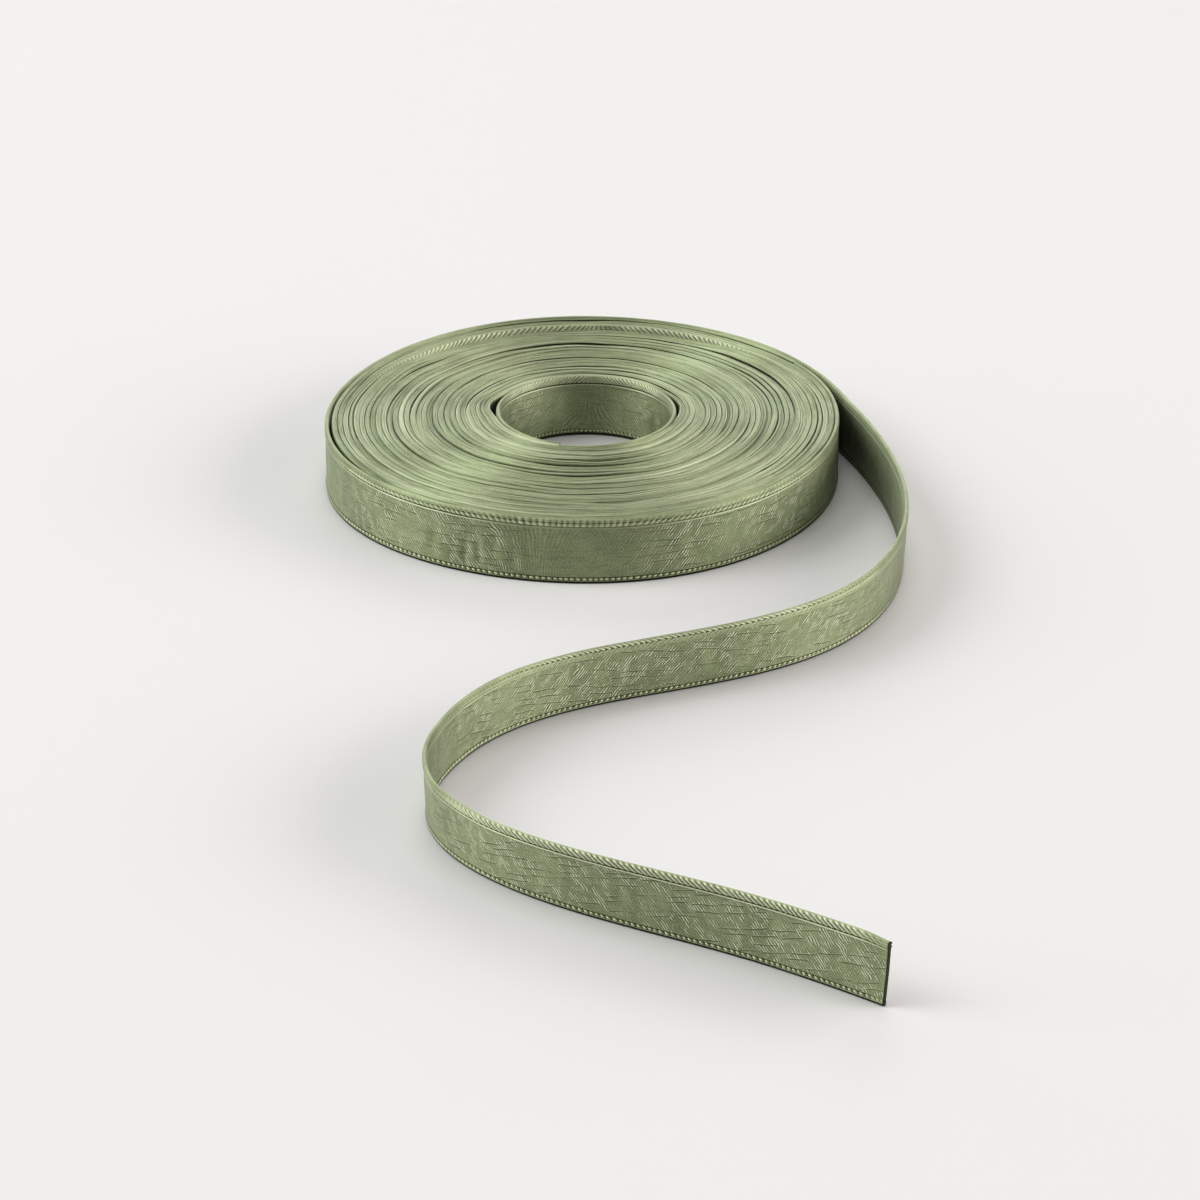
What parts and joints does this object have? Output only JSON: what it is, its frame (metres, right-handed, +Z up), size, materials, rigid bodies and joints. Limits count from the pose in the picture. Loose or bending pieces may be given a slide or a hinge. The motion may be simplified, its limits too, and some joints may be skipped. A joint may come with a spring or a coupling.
{
  "type": "roll of satin ribbon",
  "caption": "Coreless roll of narrow green satin ribbon lying flat on its edge, wound round an open centre, with its loose end pulled out in an S in front of it.",
  "frame": {"origin": "under the middle of the whole object, roll and loose end together, on the surface it lies on", "axes": "+Z up, along the roll's own axis; +Y from the cut end towards the roll; +X towards the side where the loose end leaves the roll"},
  "size_m": [0.1084, 0.2596, 0.0127],
  "materials": {
    "satin_ribbon": "sage green satin with a soft sheen, a fine slanting weave across the face and corded, stitched selvedges"
  },
  "bodies": {
    "root": {"wound_roll": "satin_ribbon", "loose_end": "satin_ribbon"}
  },
  "joints": []
}
